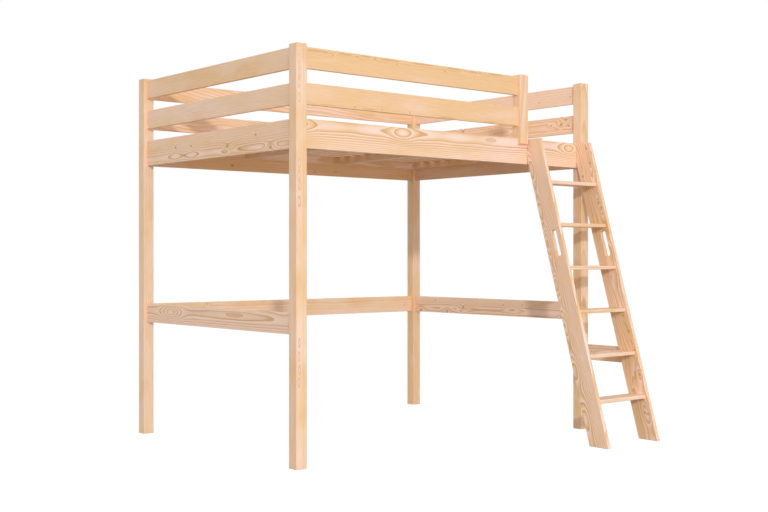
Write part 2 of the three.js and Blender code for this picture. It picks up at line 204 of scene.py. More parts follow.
# Grain pictures of the boards that the photograph shows well
FIGURES = {
    "post_front_left": Figure(
        pith_across=-0.016, pith_depth=0.0239, ring=0.0090, warp=0.001, contrast=0.2,
        blush=0.4, warmth=0.45, seed=3.0,
        eyes=glows(0.018, 0.6, (0.84, -0.012, 0.13), (0.27, -0.012, 0.20), (-0.44, -0.012, 0.20),
                   (-0.95, -0.012, 0.10))
        + hearts((0.947, -0.016), (0.885, -0.012), (0.832, -0.013), (0.760, -0.015),
                 (0.447, -0.013), (0.388, -0.016), (0.340, -0.011), (0.262, -0.014),
                 (-0.415, -0.012), (-0.480, -0.015), (-0.545, -0.011), (-0.605, -0.015))),
    "entry_post": Figure(
        pith_across=-0.08, pith_depth=0.10, ring=0.025, taper=-0.045, warp=0.003, contrast=0.6,
        blush=0.5, warmth=0.6, seed=6.0),
    "post_back_left": Figure(
        pith_across=0.09, pith_depth=0.08, warp=0.004, contrast=0.25, blush=0.5, warmth=0.35,
        seed=18.0),
    "post_front_right": Figure(
        pith_across=-0.01, pith_depth=0.05, ring=0.010, taper=0.05, warp=0.006, contrast=0.5,
        blush=0.5, warmth=0.55, uneven=0.3, seed=19.0),
    "post_back_right": Figure(
        pith_across=-0.09, pith_depth=0.08, warp=0.004, contrast=0.25, blush=0.4, warmth=0.55,
        seed=21.0),
    "top_guard_front": Figure(
        pith_across=0.052, pith_depth=-0.018, ring=0.009, warp=0.005, contrast=0.35,
        blush=0.1, warmth=1.0, seed=4.0,
        eyes=pins(0.0032, (-0.5683, 0.0298), (-0.4172, 0.0364), (-0.3005, 0.0415),
                  (-0.1538, 0.0290), (0.1831, 0.0271), (0.3307, 0.0393), (0.4443, 0.0399))
        + streaks(0.0045, (-0.80, 0.044, 0.06), (-0.66, 0.039, 0.07), (-0.49, 0.041, 0.05),
                  (-0.36, 0.045, 0.04), (-0.20, 0.043, 0.07), (0.02, 0.045, 0.09),
                  (0.25, 0.044, 0.06), (0.39, 0.042, 0.04), (0.56, 0.045, 0.06))
        + glows(0.04, 0.35, (-0.82, 0.0, 0.09))),
    "lower_guard_front": Figure(
        pith_across=-0.075, pith_depth=-0.02, ring=0.009, warp=0.005, contrast=0.3,
        blush=0.2, warmth=1.0, seed=5.0,
        eyes=pins(0.0032, (-0.4300, -0.0407), (-0.2543, -0.0417), (-0.0649, -0.0422))
        + streaks(0.0035, (-0.60, -0.046, 0.05), (-0.34, -0.045, 0.05), (0.20, -0.046, 0.07),
                  (0.52, -0.046, 0.05))
        + glows(0.04, 0.35, (-0.72, 0.01, 0.16), (-0.02, -0.01, 0.12))),
    "bed_rail_front": Figure(
        pith_across=0.045, pith_depth=-0.049, ring=0.0084, blush=0.75, warmth=0.7, seed=1.0,
        eyes=(Eye(-0.374, 0.043, 0.075, 0.055, -0.0164),
              Eye(-1.000, 0.043, 0.050, 0.045, -0.012),
              Eye(-0.720, 0.045, 0.150, 0.060, 0.004),
              Eye(-0.100, 0.030, 0.080, 0.040, 0.004),
              Eye(0.150, 0.045, 0.130, 0.050, 0.0035),
              Eye(0.269, 0.047, 0.050, 0.013, 0.0, core=0.6),
              Eye(0.480, 0.010, 0.300, 0.070, 0.0, glow=0.9),
              Eye(0.740, 0.045, 0.090, 0.050, 0.0030),
              Eye(0.915, 0.034, 0.065, 0.050, -0.0164))),
    "middle_rail_left": Figure(
        pith_across=0.018, pith_depth=0.047, seed=2.0, contrast=0.7, blush=1.0, warmth=0.0,
        eyes=(Eye(0.0, 0.0, 0.900, 0.120, 0.0, glow=0.45),
              Eye(0.447, 0.015, 0.100, 0.060, -0.030),
              Eye(-0.203, 0.023, 0.095, 0.014, -0.002, core=0.7),
              Eye(-0.640, 0.035, 0.090, 0.040, 0.006))),
    "bed_rail_left": Figure(
        pith_across=-0.040, pith_depth=0.025, ring=0.0085, warp=0.005, contrast=0.9,
        blush=0.7, warmth=0.6, seed=7.0,
        eyes=(Eye(0.397, -0.0362, 0.062, 0.024, -0.0095, glow=0.5),
              Eye(0.225, -0.0393, 0.062, 0.024, -0.0095, glow=0.5),
              Eye(-0.460, -0.0500, 0.190, 0.024, -0.0100, glow=0.4),
              Eye(-0.119, -0.0360, 0.040, 0.034, -0.0100, glow=0.3))
        + pins(0.0090, (-0.136, -0.0190), (-0.531, -0.0523))
        + pins(0.0065, (0.397, 0.0110), (0.230, 0.0073), (-0.399, 0.0200))),
    "bed_rail_back": Figure(
        pith_across=0.02, pith_depth=-0.06, warp=0.005, contrast=0.3, blush=0.3, warmth=0.85,
        seed=20.0,
        eyes=pins(0.0080, (-0.4519, -0.0389)) + pins(0.0050, (0.1757, -0.0478), (0.3465, -0.0425))),
    "middle_rail_right": Figure(
        pith_across=-0.022, pith_depth=0.025, ring=0.0072, contrast=1.0, blush=0.8,
        warmth=0.3, seed=8.0,
        eyes=(Eye(-0.197, -0.0058, 0.070, 0.025, -0.0105),
              Eye(0.235, -0.0340, 0.045, 0.025, -0.012))
        + pins(0.0075, (0.2475, -0.0113), (0.4018, -0.0399), (0.6639, -0.0400))
        + pins(0.0045, (0.5157, 0.0304), (-0.1187, 0.0169), (-0.2834, 0.0221),
               (-0.6048, -0.0369))),
    "middle_rail_back": Figure(
        pith_across=0.05, pith_depth=-0.06, warp=0.005, contrast=0.3, blush=0.5, warmth=0.5,
        seed=9.0, eyes=pins(0.0035, (0.9396, -0.0084), (-0.6273, 0.0396), (-0.2231, 0.0415))),
    "top_guard_left": Figure(
        pith_across=0.09, pith_depth=0.06, warp=0.005, contrast=0.2, blush=0.4, warmth=0.55,
        seed=10.0),
    "lower_guard_left": Figure(
        pith_across=-0.09, pith_depth=0.06, warp=0.005, contrast=0.2, blush=0.5, warmth=0.3,
        seed=11.0),
    "top_guard_back": Figure(
        pith_across=-0.12, pith_depth=-0.15, ring=0.0125, taper=0.018, warp=0.012, contrast=0.6,
        blush=0.6, warmth=0.6, uneven=0.1, seed=12.0,
        eyes=(Eye(-1.150, 0.0, 0.500, 0.500, -0.060),)),
    "lower_guard_back": Figure(
        pith_across=-0.12, pith_depth=-0.15, ring=0.0125, taper=0.030, warp=0.014, contrast=0.6,
        blush=0.6, warmth=0.4, uneven=0.1, seed=13.0,
        eyes=(Eye(-0.500, 0.020, 0.140, 0.060, -0.016),)),
    "top_guard_right": Figure(
        pith_across=0.07, pith_depth=0.06, warp=0.006, contrast=0.35, blush=0.8, warmth=0.3,
        seed=14.0, eyes=pins(0.004, (-0.4262, -0.0182), (-0.6759, -0.0072))),
    "lower_guard_right": Figure(
        pith_across=-0.005, pith_depth=0.045, ring=0.0085, warp=0.007, contrast=0.55, blush=0.6,
        warmth=0.6, seed=15.0,
        eyes=(Eye(-0.100, 0.0000, 0.080, 0.014, -0.004, core=0.6),)
        + pins(0.0075, (0.2475, 0.0354), (-0.6444, 0.0349), (-0.6048, 0.0053))
        + pins(0.0045, (-0.6680, -0.0061), (-0.5244, 0.0061))),
    "stringer_left": Figure(
        pith_across=0.060, pith_depth=-0.022, ring=0.0105, taper=0.04, contrast=0.75,
        warmth=0.6, warp=0.016, blush=0.9, uneven=0.2, seed=16.0,
        eyes=(Eye(0.720, 0.066, 0.100, 0.060, -0.034),
              Eye(0.480, 0.074, 0.060, 0.050, -0.024),
              Eye(0.280, 0.072, 0.090, 0.055, -0.034),
              Eye(0.040, 0.074, 0.060, 0.050, -0.024),
              Eye(-0.190, 0.074, 0.070, 0.050, -0.028),
              Eye(-0.440, 0.080, 0.080, 0.055, -0.031),
              Eye(-0.700, 0.082, 0.090, 0.055, -0.031))),
    "stringer_right": Figure(
        pith_across=-0.010, pith_depth=-0.040, ring=0.0090, warp=0.024, contrast=0.95,
        blush=0.6, warmth=1.0, uneven=0.2, seed=17.0,
        eyes=knots(0.0062, (0.8383, -0.0174), (0.7466, -0.0222), (0.6883, 0.0499),
                   (0.5024, -0.0174), (0.4716, -0.0277), (-0.1676, -0.0082),
                   (-0.2606, -0.0218), (-0.3731, -0.0330), (-0.5125, -0.0290),
                   (-0.7240, -0.0062), (-0.7350, -0.0250), (-0.5905, 0.0411))),
}


def socket_names(kind: type) -> list[str]:
    """Returns the sockets' names for a dataclass's plain values."""
    return [part.name.replace("_", " ").title() for part in fields(kind) if part.name != "eyes"]


def socket_values(settings: Any) -> dict[str, Any]:
    """Returns a dataclass's plain values under their sockets' names."""
    return {label: getattr(settings, label.replace(" ", "_").lower())
            for label in socket_names(type(settings))}


# What each eye hands on to the next one and to the board
HANDED_ON = ["Lift", "Core", "Pin", "Glow"]


class Wiring:
    """Adds nodes to one tree and joins them in short calls."""

    def __init__(self, tree: bpy.types.NodeTree) -> None:
        """Starts wiring in a tree."""
        self.tree = tree

    def node(self, kind: str, inputs: Any = (), **settings: Any) -> bpy.types.Node:
        """Adds a node.

        Args:
            kind: The node's type name.
            inputs: An output or a plain value for each of its inputs, by name or in order.
            **settings: Properties to set on it first.

        Returns:
            The new node.
        """
        made = self.tree.nodes.new(kind)
        for name, value in settings.items():
            setattr(made, name, value)
        for name, value in inputs.items() if isinstance(inputs, dict) else enumerate(inputs):
            self.put(made.inputs[name], value)
        return made

    def put(self, socket: Socket, value: Any) -> None:
        """Links an output into a socket, or writes a plain value on it."""
        if isinstance(value, Socket):
            self.tree.links.new(value, socket)
        else:
            socket.default_value = value

    def maths(self, operation: str, *values: Any, clamp: bool = False) -> Socket:
        """Returns the result of a Math node on the given values."""
        return self.node("ShaderNodeMath", values, operation=operation, use_clamp=clamp).outputs[0]

    def times(self, first: Any, second: Any) -> Socket:
        """Returns the product of two values."""
        return self.maths("MULTIPLY", first, second)

    def vector(self, operation: str, *values: Any, result: str = "Vector") -> Socket:
        """Returns one result of a Vector Math node on the given values."""
        return self.node("ShaderNodeVectorMath", values, operation=operation).outputs[result]

    def length(self, value: Any) -> Socket:
        """Returns the length of a vector."""
        return self.vector("LENGTH", value, result="Value")

    def parts(self, value: Any) -> tuple[Socket, ...]:
        """Returns a vector's three parts."""
        return tuple(self.node("ShaderNodeSeparateXYZ", (value,)).outputs)

    def join(self, *values: Any) -> Socket:
        """Returns a vector made of three parts."""
        return self.node("ShaderNodeCombineXYZ", values).outputs[0]

    def step(self, value: Any, low: Any, high: Any, start: float = 0.0,
             end: float = 1.0) -> Socket:
        """Maps a value smoothly from one range to another and clamps it.

        Args:
            value: The value to map.
            low: Where the result is start.
            high: Where the result is end.
            start: The result at low.
            end: The result at high.

        Returns:
            The mapped value.
        """
        return self.node("ShaderNodeMapRange", (value, low, high, start, end),
                         interpolation_type="SMOOTHSTEP").outputs[0]

    def noise(self, place: Any, stretch: Triple, detail: float = 2.0) -> Socket:
        """Returns noise about a half, finer along the axes that are stretched more."""
        return self.node("ShaderNodeTexNoise", {
            "Vector": self.vector("MULTIPLY", place, stretch), "Scale": 1.0, "Detail": detail},
            noise_dimensions="3D").outputs["Fac"]

    def blend(self, share: Any, first: Any, second: Any,
              kind: str = "MIX") -> Socket:
        """Returns two colours mixed by a share, in the given way."""
        return self.node("ShaderNodeMix", {"Factor": share, 6: first, 7: second},
                         data_type="RGBA", blend_type=kind, clamp_factor=True).outputs[2]

    def ramp(self, value: Any, stops: Sequence[tuple[float, float]]) -> Socket:
        """Returns a grey value read off straight lines between stops of place and value."""
        made = self.node("ShaderNodeValToRGB", (value,))
        marks = made.color_ramp.elements
        while len(marks) < len(stops):
            marks.new(0.5)
        for mark, (place, grey) in zip(marks, stops):
            mark.position = place
            mark.color = (grey, grey, grey, 1.0)
        return made.outputs[0]

    def seen(self) -> Socket:
        """Returns 1 for rays that show a thing, also in metal or glass, and 0 for its light."""
        ray = self.node("ShaderNodeLightPath").outputs
        return self.maths("MAXIMUM", ray["Is Camera Ray"], self.maths(
            "MAXIMUM", ray["Is Glossy Ray"], ray["Is Transmission Ray"]))


def wiring_of(owner: Any) -> Wiring:
    """Turns on the nodes of a material, lamp or world, clears them and returns their wiring."""
    owner.use_nodes = True
    owner.node_tree.nodes.clear()
    return Wiring(owner.node_tree)


def new_group(name: str, inputs: Iterable[tuple[str, str]],
              outputs: Iterable[tuple[str, str]]) -> tuple[bpy.types.NodeTree, Wiring, Any, Any]:
    """Makes an empty shader group with named sockets.

    Args:
        name: The group's name.
        inputs: Name and kind of each input.
        outputs: Name and kind of each output.

    Returns:
        The tree, its wiring, its input node's outputs and its output node's inputs.
    """
    tree = bpy.data.node_groups.new(name, "ShaderNodeTree")
    for way, sockets in (("INPUT", inputs), ("OUTPUT", outputs)):
        for label, kind in sockets:
            tree.interface.new_socket(name=label, in_out=way, socket_type=kind)
    wire = Wiring(tree)
    given = wire.node("NodeGroupInput").outputs
    return tree, wire, given, wire.node("NodeGroupOutput").inputs


@dataclass(frozen=True)
class Pine:
    """Planed, unvarnished pine, drawn from the board's own place in its tree.

    Noise is given as patches to a metre along, across and through the board. An edge says where
    a fade starts and ends, and then its values there where they aren't 0 and 1. A squeeze is an
    oval's width as a share of its length.

    Attributes:
        pale: Plain early wood.
        pink: Early wood just outside a ring's edge.
        ochre: Early wood in a warmer zone.
        late: The dark edge of a ring.
        knot: The heart of a pin knot.
        ends: What end grain is darkened by.
        seed_shift: How far one step of the seed moves a board through the noise.
        uneven_pace: How quickly the rings' widths change from year to year.
        year: How dark the wood is from one ring's start to the next's.
        luck: Least and greatest strength of one year's late wood.
        flat_edge: Fades the rings where the cut runs along them.
        favoured: Weight of a colour's share in its noise, and the edge after it.
        rough: Roughness, and what late wood and fibres add to it.
        relief: Strength and depth of the fibres' relief, in metres.
        pin_cells: How many places for pin knots there are to a metre along and across.
        pin_chance: Edge that decides which of them hold one, and how large.
        bend: Squeeze, reach and lift of the rings round a pin knot, the last two in radii.
    """

    pale: Triple = (246, 213, 181)
    pink: Triple = (253, 222, 208)
    ochre: Triple = (240, 200, 154)
    late: Triple = (205, 156, 92)
    knot: Triple = (196, 156, 74)
    ends: Triple = (214, 158, 104)
    knot_share: float = 0.85
    ends_share: float = 0.55
    ior: float = 1.45
    specular: float = 0.28
    seed_shift: Triple = (3.17, 1.73, 2.39)
    slow_wander: Triple = (2.1, 9.0, 9.0)
    slow_share: float = 2.0
    quick_wander: Triple = (11.0, 34.0, 34.0)
    quick_share: float = 0.34
    uneven_pace: float = 1.3
    year: tuple[tuple[float, float], ...] = (
        (0.0, 0.0), (0.5, 0.03), (0.74, 0.32), (0.84, 1.0), (0.96, 1.0), (1.0, 0.0))
    luck: tuple[float, float] = (0.5, 1.0)
    flat_edge: tuple[float, ...] = (0.45, 0.8, 0.12, 1.0)
    patches: Triple = (1.6, 13.0, 13.0)
    patch_edge: tuple[float, ...] = (0.3, 0.62, 0.55, 1.0)
    rosy: Triple = (2.2, 12.0, 12.0)
    rosy_edge: tuple[float, ...] = (0.1, 0.65, 1.0, 0.08)
    warm: Triple = (3.5, 7.0, 7.0)
    favoured: Triple = (0.6, 0.64, 0.96)
    fibre: Triple = (14.0, 420.0, 420.0)
    fleck_edge: tuple[float, ...] = (0.25, 0.75, 0.93, 1.05)
    end_edge: tuple[float, float] = (0.75, 0.95)
    rough: Triple = (0.52, -0.08, 0.12)
    relief: tuple[float, float] = (0.3, 0.0004)
    pin_cells: tuple[float, float] = (5.0, 11.0)
    pin_chance: tuple[float, float] = (0.55, 1.0)
    pin_squeeze: float = 0.75
    pin_edge: tuple[float, float] = (1.1, 0.55)
    bend: Triple = (0.4, 3.0, 1.6)
    heart_edge: tuple[float, float] = (0.42, 0.5)
    heart_fade: tuple[float, ...] = (0.5, 0.62, 1.0, 0.7)
    dot_squeeze: float = 0.7
    dot_edge: tuple[float, float] = (1.5, 0.4)

    def eye_group(self) -> bpy.types.NodeTree:
        """Builds the group that adds one eye to those before it.

        Returns:
            The node group.
        """
        before = [label + " Before" for label in HANDED_ON]
        tree, wire, given, end = new_group(
            "pine eye",
            [("Place", VECTOR)] + [(label, NUMBER) for label in before + socket_names(Eye)],
            [(label, NUMBER) for label in HANDED_ON])
        along, across, _ = wire.parts(given["Place"])
        far_along = wire.maths("SUBTRACT", along, given["Along"])
        far_across = wire.maths("SUBTRACT", across, given["Across"])
        reach = wire.length(wire.join(
            wire.maths("DIVIDE", far_along, given["Length"]),
            wire.maths("DIVIDE", far_across, given["Height"]), 0.0))
        bulge = wire.maths("EXPONENT", wire.times(-1.0, wire.maths("POWER", reach, 2.0)))
        wire.put(end["Lift"], wire.maths(
            "MULTIPLY_ADD", bulge, given["Lift"], given["Lift Before"]))
        heart = wire.times(wire.step(bulge, *self.heart_edge), given["Core"])
        heart = wire.times(heart, wire.step(bulge, *self.heart_fade))
        near = wire.length(wire.join(wire.times(far_along, self.dot_squeeze), far_across, 0.0))
        dot = wire.step(wire.maths("DIVIDE", near, given["Pin"]), *self.dot_edge)
        for label, value in (("Core", heart), ("Pin", dot),
                             ("Glow", wire.times(bulge, given["Glow"]))):
            wire.put(end[label], wire.maths("MAXIMUM", value, given[label + " Before"]))
        return tree

    def pin_knots(self, wire: Wiring, seeded: Any, largest: Any) -> tuple[Any, Any]:
        """Scatters pin knots over a board.

        Args:
            wire: The board group's wiring.
            seeded: The place in the board's own share of the noise.
            largest: Radius of the largest knots.

        Returns:
            How much knot there is at the place, and how far the rings are lifted there.
        """
        along, across = self.pin_cells
        squeeze, reach, lift = self.bend
        flat = wire.vector("MULTIPLY", seeded, (along, across, 0.0))
        cells = wire.node("ShaderNodeTexVoronoi", {
            "Vector": flat, "Scale": 1.0, "Randomness": 1.0},
            voronoi_dimensions="2D", feature="F1").outputs
        offset = wire.vector("MULTIPLY", wire.vector("SUBTRACT", flat, cells["Position"]),
                             (1.0 / along, 1.0 / across, 0.0))
        chance = wire.parts(cells["Color"])[0]
        size = wire.maths("MAXIMUM", wire.times(
            largest, wire.step(chance, *self.pin_chance)), NO_KNOT)
        near = wire.length(wire.vector("MULTIPLY", offset, (self.pin_squeeze, 1.0, 0.0)))
        pin = wire.step(wire.maths("DIVIDE", near, size), *self.pin_edge)
        away = wire.length(wire.vector("MULTIPLY", offset, (squeeze, 1.0, 0.0)))
        bend = wire.maths("EXPONENT", wire.maths("DIVIDE", away, wire.times(size, -reach)))
        return pin, wire.times(bend, wire.times(size, lift))

    def spread(self, wire: Wiring, noise: Any, share: Any) -> Socket:
        """Returns patches of 0 and 1 from noise, more of them 1 as the share grows."""
        weight, low, high = self.favoured
        return wire.step(wire.maths("MULTIPLY_ADD", share, weight, noise), low, high)

    def grain_group(self) -> bpy.types.NodeTree:
        """Builds the group that draws rings, fibres, knots and end grain.

        Returns:
            The node group.
        """
        tree, wire, given, end = new_group(
            "planed pine",
            [("Place", VECTOR), ("Facing", VECTOR)]
            + [(label, NUMBER) for label in HANDED_ON + socket_names(Figure)],
            [("Color", COLOUR), ("Roughness", NUMBER), ("Normal", VECTOR)])
        seed = given["Seed"]
        along, across, through = wire.parts(given["Place"])
        seeded = wire.vector("ADD", given["Place"], wire.join(
            *(wire.times(seed, shift) for shift in self.seed_shift)))
        slow = wire.maths("SUBTRACT", wire.noise(seeded, self.slow_wander, detail=1.0), 0.5)
        quick = wire.maths("SUBTRACT", wire.noise(seeded, self.quick_wander), 0.5)
        wander = wire.times(given["Warp"], wire.maths(
            "MULTIPLY_ADD", quick, self.quick_share, wire.times(slow, self.slow_share)))
        pin, bend = self.pin_knots(wire, seeded, given["Pins"])
        pin = wire.maths("MAXIMUM", pin, given["Pin"])

        outwards = wire.join(0.0, wire.maths("SUBTRACT", across, given["Pith Across"]),
                             wire.maths("SUBTRACT", through, given["Pith Depth"]))
        radius = wire.maths("MULTIPLY_ADD", along, given["Taper"], wire.length(outwards))
        for part in (wander, given["Lift"], bend):
            radius = wire.maths("ADD", radius, part)
        rings = wire.maths("DIVIDE", radius, given["Ring"])
        rings = wire.maths("MULTIPLY_ADD", wire.maths("SINE", wire.maths(
            "MULTIPLY_ADD", rings, self.uneven_pace, seed)), given["Uneven"], rings)
        within = wire.maths("FRACT", rings)
        luck = wire.node("ShaderNodeTexWhiteNoise", {
            "W": wire.maths("ADD", wire.maths("FLOOR", rings), seed)}, noise_dimensions="1D")
        strength = wire.step(luck.outputs["Value"], 0.0, 1.0, *self.luck)
        flatness = wire.maths("ABSOLUTE", wire.vector(
            "DOT_PRODUCT", wire.vector("NORMALIZE", outwards), given["Facing"], result="Value"))
        patch = wire.noise(seeded, self.patches, detail=1.0)
        for fading in (wire.step(flatness, *self.flat_edge), wire.step(patch, *self.patch_edge)):
            strength = wire.times(strength, fading)
        late = wire.maths("MULTIPLY", wire.times(wire.ramp(within, self.year), strength),
                          wire.maths("ADD", given["Contrast"], given["Glow"]), clamp=True)
        late = wire.maths("MAXIMUM", late, given["Core"])

        pink = self.spread(wire, wire.noise(seeded, self.rosy, detail=1.0), given["Blush"])
        pink = wire.times(pink, wire.step(within, *self.rosy_edge))
        ochre = self.spread(wire, wire.noise(seeded, self.warm), given["Warmth"])
        wood = wire.blend(ochre, srgb(*self.pale), srgb(*self.ochre))
        for share, colour in ((wire.maths("MAXIMUM", pink, given["Glow"]), self.pink),
                              (late, self.late), (wire.times(pin, self.knot_share), self.knot)):
            wood = wire.blend(share, wood, srgb(*colour))
        fibre = wire.noise(seeded, self.fibre)
        flecks = wire.step(fibre, *self.fleck_edge)
        wood = wire.blend(1.0, wood, wire.join(flecks, flecks, flecks), "MULTIPLY")
        facing = wire.maths("ABSOLUTE", wire.parts(given["Facing"])[0])
        ends = wire.times(wire.step(facing, *self.end_edge), self.ends_share)
        wire.put(end["Color"], wire.blend(ends, wood, srgb(*self.ends), "MULTIPLY"))
        rough, for_late, for_fibre = self.rough
        wire.put(end["Roughness"], wire.maths(
            "MULTIPLY_ADD", fibre, for_fibre, wire.maths("MULTIPLY_ADD", late, for_late, rough)))
        strength, depth = self.relief
        relief = wire.node("ShaderNodeBump", {
            "Strength": strength, "Distance": depth,
            "Height": wire.maths("MULTIPLY_ADD", fibre, 0.5, wire.times(late, 0.5))})
        wire.put(end["Normal"], relief.outputs["Normal"])
        return tree


class Timber:
    """Makes one pine material for each board, all from the same two groups."""

    def __init__(self, pine: Pine) -> None:
        """Builds the shared groups."""
        self.pine = pine
        self.eye = pine.eye_group()
        self.grain = pine.grain_group()

    def material(self, name: str, centre: Vector, grain: Grain,
                 figure: Figure) -> bpy.types.Material:
        """Makes the material of one board.

        Args:
            name: The board's name.
            centre: The board's middle, in metres.
            grain: Which way its fibres run.
            figure: How it was cut.

        Returns:
            The material.
        """
        made = bpy.data.materials.new("pine " + name)
        wire = wiring_of(made)
        turn = grain.turn()
        spot = wire.node("ShaderNodeTexCoord").outputs
        place = wire.node("ShaderNodeMapping", {
            "Vector": spot["Object"], "Location": -(turn @ centre),
            "Rotation": turn.to_euler("XYZ")}, vector_type="POINT").outputs[0]
        facing = wire.node("ShaderNodeMapping", {
            "Vector": spot["Normal"], "Rotation": turn.to_euler("XYZ")},
            vector_type="POINT").outputs[0]
        handed_on: dict[str, Socket] = {}
        for eye in figure.eyes:
            before = {label + " Before": socket for label, socket in handed_on.items()}
            bulge = wire.node("ShaderNodeGroup", {"Place": place, **before, **socket_values(eye)},
                              node_tree=self.eye)
            handed_on = {label: bulge.outputs[label] for label in HANDED_ON}
        board = wire.node("ShaderNodeGroup", {
            "Place": place, "Facing": facing, **handed_on, **socket_values(figure)},
            node_tree=self.grain).outputs
        shader = wire.node("ShaderNodeBsdfPrincipled", {
            "Base Color": board["Color"], "Roughness": board["Roughness"],
            "Normal": board["Normal"], "IOR": self.pine.ior,
            "Specular IOR Level": self.pine.specular})
        wire.node("ShaderNodeOutputMaterial", {"Surface": shader.outputs[0]})
        return made

    def dress(self, grain: Grain, *names: str, width: float = 0.0, plain: float = 0.0) -> None:
        """Gives boards of the frame their own pine.

        Args:
            grain: Which way their fibres run.
            *names: The boards' names in the frame.
            width: The width of those that are cut by chance, in metres.
            plain: How plain those should be, 0 to 1.
        """
        for name in names:
            figure = FIGURES.get(name) or cut_by_chance(name, width, plain)
            made = self.material(name, middle_of(name), grain, figure)
            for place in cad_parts[name].material_slots:
                place.material = made
            LOG.info("dressed %s", name)


@dataclass(frozen=True)
class ZincPlate:
    """Bright zinc plate on steel screws and bolts.

    Attributes:
        bright: The cleaner patches.
        dull: The duller patches.
        patch: How many patches there are to a metre.
        colour_edge: Where the patches' colour changes.
        rough_edge: Where their roughness changes, and from what to what.
        relief: Strength and depth of the patches' relief, in metres.
    """

    bright: Triple = (226, 227, 225)
    dull: Triple = (196, 198, 197)
    patch: float = 900.0
    colour_edge: tuple[float, float] = (0.35, 0.65)
    rough_edge: tuple[float, ...] = (0.3, 0.7, 0.26, 0.44)
    relief: tuple[float, float] = (0.2, 0.0001)

    def material(self) -> bpy.types.Material:
        """Returns the zinc material."""
        made = bpy.data.materials.new("zinc plate")
        wire = wiring_of(made)
        spot = wire.node("ShaderNodeTexCoord").outputs["Object"]
        cloud = wire.noise(spot, (self.patch,) * 3, detail=3.0)
        strength, depth = self.relief
        relief = wire.node("ShaderNodeBump", {
            "Strength": strength, "Distance": depth, "Height": cloud})
        shader = wire.node("ShaderNodeBsdfPrincipled", {
            "Metallic": 1.0, "Roughness": wire.step(cloud, *self.rough_edge),
            "Base Color": wire.blend(wire.step(cloud, *self.colour_edge),
                                     srgb(*self.bright), srgb(*self.dull)),
            "Normal": relief.outputs["Normal"]})
        wire.node("ShaderNodeOutputMaterial", {"Surface": shader.outputs[0]})
        return made


def placed(name: str, data: bpy.types.ID) -> bpy.types.Object:
    """Puts a new object with the given data into the scene and returns it."""
    made = bpy.data.objects.new(name, data)
    bpy.context.scene.collection.objects.link(made)
    return made


def closed_shape(shape: bmesh.types.BMesh, name: str) -> bpy.types.Object:
    """Turns a closed shape's faces outwards and puts it in an object.

    Args:
        shape: The closed shape, freed here.
        name: The mesh's name.

    Returns:
        The object, linked to the scene.
    """
    bmesh.ops.recalc_face_normals(shape, faces=shape.faces)
    mesh = bpy.data.meshes.new(name)
    shape.to_mesh(mesh)
    shape.free()
    return placed(name, mesh)


@dataclass(frozen=True)
class ScrewHead:
    """A countersunk screw head with a cross recess.

    Attributes:
        radius: The head's radius; foot, dome, rim, arm and slot are shares of it.
        sink: How far its cone reaches below the timber's face.
        rise: How far its domed top stands above it.
        sides: How many sides its round has.
        foot: Radius of the cone's foot.
        dome: Radius of the top, inside its rounded edge.
        rim: Radius of the circle round the recess.
        arm: Half length of the recess's arms.
        slot: Half width of the arms.
        taper: The recess's size at its floor, as a share of that at the top.
        depth: The recess's depth, as a share of the sink.
    """

    radius: float
    sink: float = 0.003
    rise: float = 0.0004
    sides: int = 16
    foot: float = 0.45
    dome: float = 0.86
    rim: float = 0.72
    arm: float = 0.62
    slot: float = 0.17
    taper: float = 0.8
    depth: float = 0.55

    def build(self) -> bpy.types.Object:
        """Makes one head, facing up at the origin.

        Returns:
            An object that holds the head's mesh.
        """
        shape = bmesh.new()
        levels = ((self.foot, -self.sink), (1.0, 0.0), (1.0, self.rise / 2),
                  (self.dome, self.rise), (self.rim, self.rise))
        turns = [2 * math.pi * side / self.sides for side in range(self.sides)]
        loops = [[shape.verts.new((self.radius * share * math.cos(turn),
                                   self.radius * share * math.sin(turn), height))
                  for turn in turns] for share, height in levels]
        for lower, upper in zip(loops, loops[1:]):
            for side in range(self.sides):
                after = (side + 1) % self.sides
                shape.faces.new((lower[side], lower[after], upper[after], upper[side]))
        shape.faces.new(list(reversed(loops[0])))
        arm, slot = self.arm, self.slot
        corners = [Matrix.Rotation(quarter * math.pi / 2, 2) @ Vector(point) * self.radius
                   for quarter in range(4) for point in ((arm, -slot), (arm, slot), (slot, slot))]
        top = [shape.verts.new((corner.x, corner.y, self.rise)) for corner in corners]
        low = self.rise - self.sink * self.depth
        floor = [shape.verts.new((corner.x * self.taper, corner.y * self.taper, low))
                 for corner in corners]
        for index in range(len(top)):
            after = (index + 1) % len(top)
            shape.faces.new((top[after], top[index], floor[index], floor[after]))
        shape.faces.new(floor)
        edges = [shape.edges.get(pair) for ring in (loops[-1], top)
                 for pair in zip(ring, ring[1:] + ring[:1])]
        bmesh.ops.triangle_fill(shape, edges=edges, use_beauty=True)
        return closed_shape(shape, "screw head")


@dataclass(frozen=True)
class Rows:
    """Where one set of equal fasteners sits, in rows.

    Attributes:
        start: The first one's place.
        step: From one to the next in a row.
        count: How many stand in a row.
        facing: The way the heads look.
        across: From one row to the next.
        rows: How many rows there are.
    """

    start: Triple
    step: Triple
    count: int
    facing: Triple
    across: Triple = (0.0, 0.0, 0.0)
    rows: int = 1


